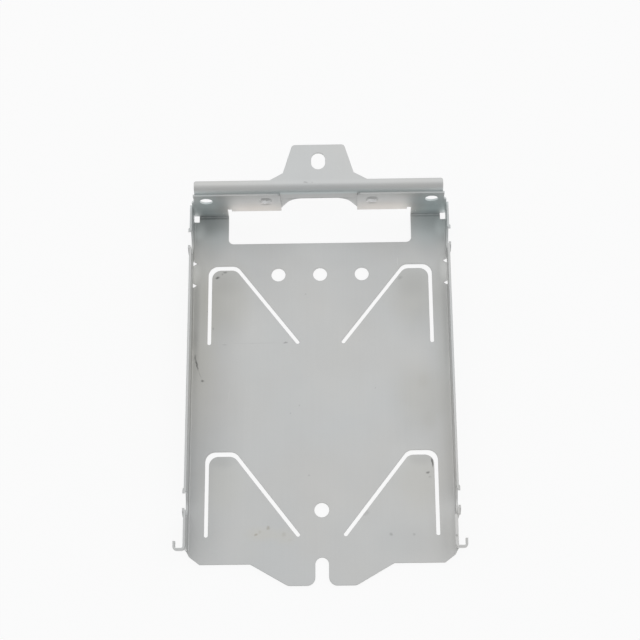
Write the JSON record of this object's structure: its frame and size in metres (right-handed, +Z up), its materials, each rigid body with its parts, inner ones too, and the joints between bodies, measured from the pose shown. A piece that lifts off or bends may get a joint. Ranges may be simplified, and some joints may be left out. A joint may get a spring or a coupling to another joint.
{
  "type": "hard drive caddy",
  "caption": "Folded sheet-metal drive tray with low side walls, open grommet holes, bent floor slots, a notched tail and a clinched front wall with a pull tab.",
  "frame": {"origin": "middle of the footprint, on the underside of the floor", "axes": "+X to the right wall, +Y to the front wall with the pull tab, +Z up"},
  "size_m": [0.0793, 0.123, 0.018],
  "materials": {
    "plated_tray": "satin zinc plate",
    "plated_bracket": "satin zinc plate"
  },
  "bodies": {
    "root": {"tray": "plated_tray", "front_bracket": "plated_bracket"}
  },
  "joints": []
}
